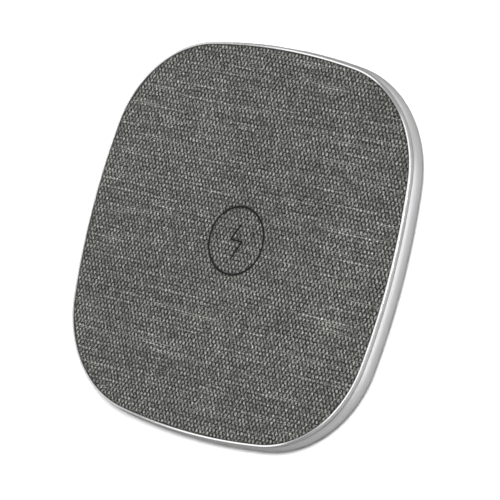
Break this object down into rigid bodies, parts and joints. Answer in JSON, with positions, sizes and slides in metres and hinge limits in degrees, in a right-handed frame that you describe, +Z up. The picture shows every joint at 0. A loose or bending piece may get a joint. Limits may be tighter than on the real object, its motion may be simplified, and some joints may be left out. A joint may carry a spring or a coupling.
{
  "type": "wireless charging pad",
  "caption": "Slim wireless charging pad with a rounded-square metal frame, a woven fabric face with a pressed ring mark, rubber feet and a USB-C inlet in its rear side.",
  "frame": {"origin": "centre of the pad in plan, on the plane of its feet", "axes": "+Z up through the fabric face, +Y towards the side with the USB-C inlet and the top of the pressed mark, +X to the right seen from above"},
  "size_m": [0.1, 0.0999, 0.0078],
  "materials": {
    "woven_fabric": "heathered grey plain weave",
    "adhesive_film": "thin transfer tape",
    "housing_plastic": "fine spark-eroded texture",
    "frame_metal": "satin side, polished top land",
    "foot_rubber": "matt",
    "screw_steel": "zinc plated",
    "coil_copper": "enamelled copper litz",
    "ferrite": "sintered, dull",
    "chip_resin": "moulded epoxy",
    "tinned_wire": "tinned",
    "board_laminate": "green solder mask on glass laminate",
    "shell_steel": "drawn stainless, nickel plated",
    "tongue_plastic": "glass-filled insulator",
    "contact_gold": "gold flash",
    "capacitor_ceramic": "fired ceramic",
    "led_resin": "clear resin over a white body",
    "clear_plastic": "clear acrylic, frosted end"
  },
  "bodies": {
    "root": {"fabric_cover": "woven_fabric", "fabric_adhesive": "adhesive_film", "top_plate": "housing_plastic", "frame_ring": "frame_metal", "bottom_cover": "housing_plastic", "rubber_feet": "foot_rubber", "case_screws": "screw_steel", "charging_coil": "coil_copper", "coil_leads": "coil_copper", "coil_adhesive": "adhesive_film", "ferrite_adhesive": "adhesive_film", "ferrite_sheet": "ferrite", "thermistor": "chip_resin", "thermistor_leads": "tinned_wire", "main_board": "board_laminate", "board_screws": "screw_steel", "usb_shell": "shell_steel", "usb_tongue": "tongue_plastic", "usb_contacts": "contact_gold", "controller_chip": "chip_resin", "bridge_chips": "chip_resin", "power_inductor": "ferrite", "resonance_capacitors": "capacitor_ceramic", "filter_capacitors": "capacitor_ceramic", "chip_resistors": "chip_resin", "status_led": "led_resin", "light_pipe": "clear_plastic"}
  },
  "joints": []
}
